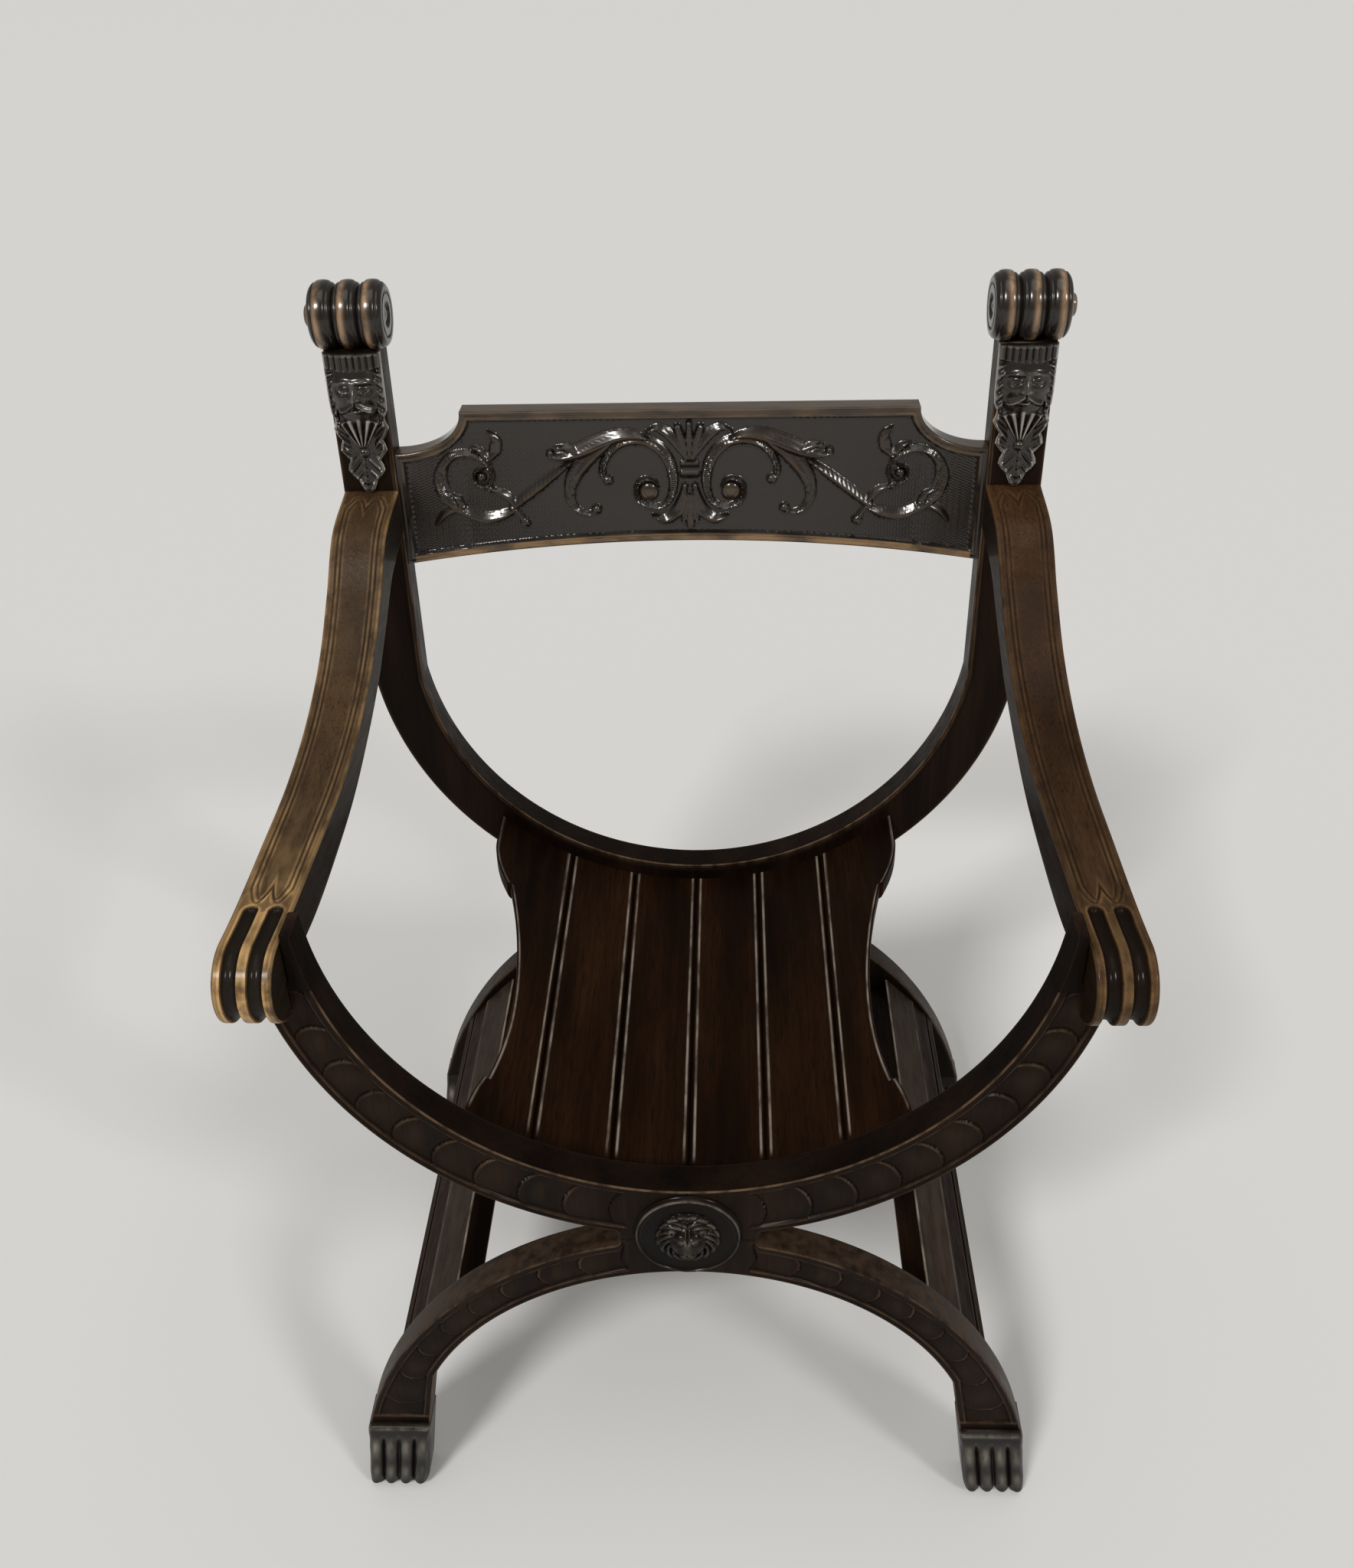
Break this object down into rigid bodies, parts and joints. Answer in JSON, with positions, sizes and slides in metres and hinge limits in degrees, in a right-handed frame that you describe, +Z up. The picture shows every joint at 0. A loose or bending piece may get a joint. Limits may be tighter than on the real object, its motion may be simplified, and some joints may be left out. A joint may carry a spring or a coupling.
{
  "type": "curule armchair",
  "caption": "Rigid X-shaped carved armchair: round-hollowed upper frames on arched legs with paw feet, scrolled splayed arms, scroll-topped back posts, carved back rail and slatted hollow seat",
  "frame": {"origin": "on the floor, under the middle of the chair's overall box", "axes": "+Z up; +X to the sitter's left, seen from the front to the right; -Y is the front of the chair, +Y its back"},
  "size_m": [0.644, 0.5095, 0.9755],
  "materials": {
    "walnut_dark": "dark waxed walnut, light-worn raised edges",
    "walnut_golden": "waxed walnut worn to golden brown by hands",
    "walnut_brown": "waxed walnut, grey-brown, sat smooth",
    "walnut_carved": "dark waxed carved walnut, glossy on the high places",
    "walnut_plain": "plain planed walnut"
  },
  "bodies": {
    "root": {"front_arc_left": "walnut_dark", "front_arc_right": "walnut_dark", "front_leg_left": "walnut_dark", "front_leg_right": "walnut_dark", "rear_stile_left": "walnut_dark", "rear_stile_right": "walnut_dark", "rear_leg_left": "walnut_dark", "rear_leg_right": "walnut_dark", "front_foot_left": "walnut_dark", "front_foot_right": "walnut_dark", "rear_foot_left": "walnut_dark", "rear_foot_right": "walnut_dark", "side_board_left": "walnut_brown", "side_board_right": "walnut_brown", "crest_scroll_left": "walnut_carved", "crest_scroll_right": "walnut_carved", "scroll_button_left": "walnut_carved", "scroll_button_right": "walnut_carved", "back_rail": "walnut_dark", "arm_left": "walnut_golden", "arm_right": "walnut_golden", "seat_stave_1": "walnut_brown", "seat_stave_2": "walnut_brown", "seat_stave_3": "walnut_brown", "seat_stave_4": "walnut_brown", "seat_stave_5": "walnut_brown", "seat_stave_6": "walnut_brown", "seat_cleat_front": "walnut_plain", "seat_cleat_rear": "walnut_plain", "lion_boss": "walnut_carved", "mask_plaque_left": "walnut_carved", "mask_plaque_right": "walnut_carved", "waist_dowels": "walnut_plain", "seam_dowels": "walnut_plain", "foot_dowels": "walnut_plain", "arm_dowels": "walnut_plain", "crest_dowels": "walnut_plain"}
  },
  "joints": []
}
